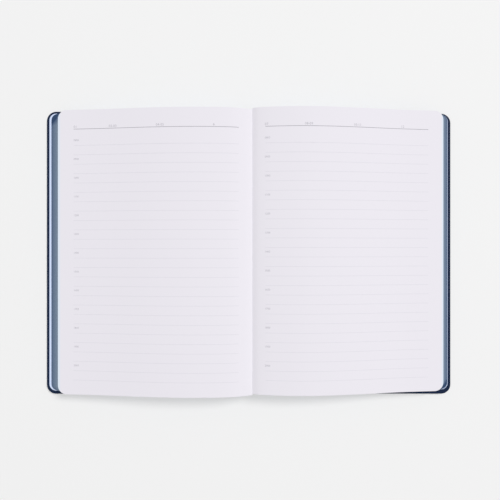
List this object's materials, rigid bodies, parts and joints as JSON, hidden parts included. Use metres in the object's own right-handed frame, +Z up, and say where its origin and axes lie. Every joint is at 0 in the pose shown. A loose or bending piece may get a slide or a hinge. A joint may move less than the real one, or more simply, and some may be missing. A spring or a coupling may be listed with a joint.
{
  "type": "logbook",
  "caption": "Open soft-covered logbook with arched ruled pages, painted fore-edges and rounded corners; it closes and its top pages turn.",
  "frame": {"origin": "middle of the open case's underside, on the table", "axes": "+X to the reader's right along the open width, +Y to the head of the book, +Z up out of the pages"},
  "size_m": [0.3084, 0.215, 0.0173],
  "materials": {
    "cover_navy": "smooth navy leatherette",
    "board_grey": "grey flexible card",
    "endpaper_blue": "pale icy-blue endpaper",
    "page_white": "uncoated white with printed rules",
    "page_edge_blue": "white leaves with blue-painted fore-edges",
    "lining_white": "woven lining"
  },
  "bodies": {
    "back_cover": {"back_cover_wrap": "cover_navy", "back_cover_board": "board_grey", "back_pastedown": "endpaper_blue", "back_flyleaf": "endpaper_blue", "right_section_1": "page_edge_blue"},
    "spine": {"spine_wrap": "cover_navy", "spine_board": "board_grey", "spine_lining": "lining_white", "front_joint_strip": "cover_navy", "back_joint_strip": "cover_navy"},
    "front_cover": {"front_cover_wrap": "cover_navy", "front_cover_board": "board_grey", "front_pastedown": "endpaper_blue", "front_flyleaf": "endpaper_blue", "left_section_1": "page_edge_blue"},
    "left_section_2": {"left_section_2": "page_edge_blue"},
    "left_section_3": {"left_section_3": "page_edge_blue"},
    "left_leaves": {"left_loose_leaves": "page_white"},
    "left_page": {"left_page": "page_white"},
    "right_section_2": {"right_section_2": "page_edge_blue"},
    "right_section_3": {"right_section_3": "page_edge_blue"},
    "right_leaves": {"right_loose_leaves": "page_white"},
    "right_page": {"right_page": "page_white"}
  },
  "joints": [
    {"name": "spine_hinge", "type": "hinge", "parent": "back_cover", "child": "spine", "pos_m": [0.007, 0, 0.001], "axis": [0, 1, 0], "range_deg": [0, 90], "deforming": ["back_joint_strip", "spine_lining", "right_loose_leaves", "right_page"]},
    {"name": "front_hinge", "type": "hinge", "parent": "spine", "child": "front_cover", "pos_m": [-0.007, 0, 0.001], "axis": [0, 1, 0], "range_deg": [0, 90], "deforming": ["front_joint_strip", "left_loose_leaves", "left_page"]},
    {"name": "left_slip_1", "type": "slide", "parent": "front_cover", "child": "left_section_2", "axis": [-1, 0, 0], "range_m": [0, 0.00333]},
    {"name": "left_slip_2", "type": "slide", "parent": "left_section_2", "child": "left_section_3", "axis": [-1, 0, 0], "range_m": [0, 0.00333]},
    {"name": "left_slip_3", "type": "slide", "parent": "left_section_3", "child": "left_leaves", "axis": [-1, 0, 0], "range_m": [0, 0.00333]},
    {"name": "left_page_turn", "type": "hinge", "parent": "left_leaves", "child": "left_page", "pos_m": [0.0021, 0, 0.0133], "axis": [0, 1, 0], "range_deg": [0, 155]},
    {"name": "right_slip_1", "type": "slide", "parent": "back_cover", "child": "right_section_2", "axis": [1, 0, 0], "range_m": [0, 0.00193]},
    {"name": "right_slip_2", "type": "slide", "parent": "right_section_2", "child": "right_section_3", "axis": [1, 0, 0], "range_m": [0, 0.00193]},
    {"name": "right_slip_3", "type": "slide", "parent": "right_section_3", "child": "right_leaves", "axis": [1, 0, 0], "range_m": [0, 0.00193]},
    {"name": "right_page_turn", "type": "hinge", "parent": "right_leaves", "child": "right_page", "pos_m": [0.0021, 0, 0.0133], "axis": [0, -1, 0], "range_deg": [0, 155]}
  ],
  "couplings": [
    {"joint": "front_hinge", "follows": "spine_hinge", "ratio": 1},
    {"joint": "left_slip_1", "follows": "spine_hinge", "m_per_rad": 0.002122},
    {"joint": "left_slip_2", "follows": "spine_hinge", "m_per_rad": 0.002122},
    {"joint": "left_slip_3", "follows": "spine_hinge", "m_per_rad": 0.002122},
    {"joint": "right_slip_1", "follows": "spine_hinge", "m_per_rad": 0.0012308},
    {"joint": "right_slip_2", "follows": "spine_hinge", "m_per_rad": 0.0012308},
    {"joint": "right_slip_3", "follows": "spine_hinge", "m_per_rad": 0.0012308}
  ]
}
